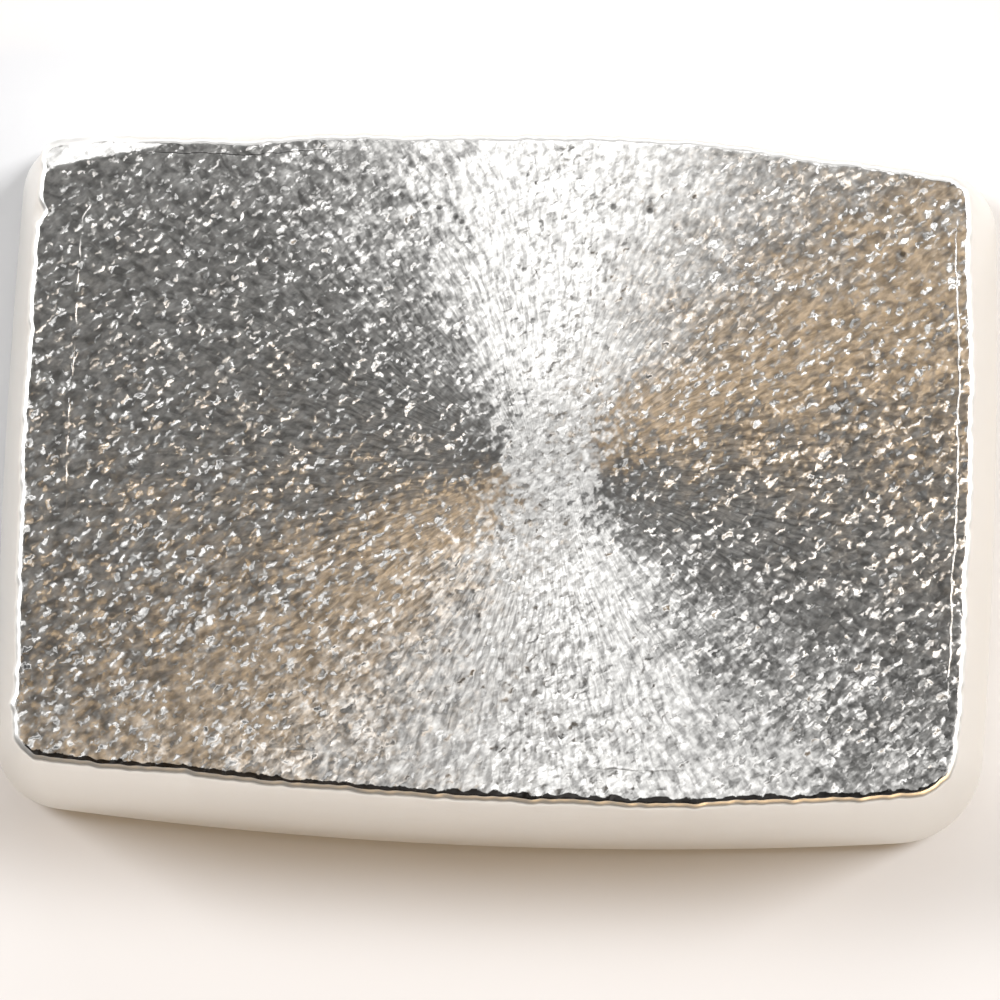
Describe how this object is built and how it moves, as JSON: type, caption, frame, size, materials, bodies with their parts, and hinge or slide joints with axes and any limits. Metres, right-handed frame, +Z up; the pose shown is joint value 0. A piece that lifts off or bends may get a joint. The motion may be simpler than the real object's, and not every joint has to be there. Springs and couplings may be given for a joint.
{
  "type": "metal ingot",
  "caption": "Small cast ingot of pale bare metal with tapered smooth walls, bulging long sides and a pebbled flat face, raw stock for melting.",
  "frame": {"origin": "centre of the ingot's outer box at the level of the pour face that it lies on", "axes": "+X along the length, +Y towards the long side with the misrun edge, +Z up to the cast face"},
  "size_m": [0.06, 0.0434, 0.013],
  "materials": {
    "cast_metal": "satin"
  },
  "bodies": {
    "root": {"ingot": "cast_metal"}
  },
  "joints": []
}
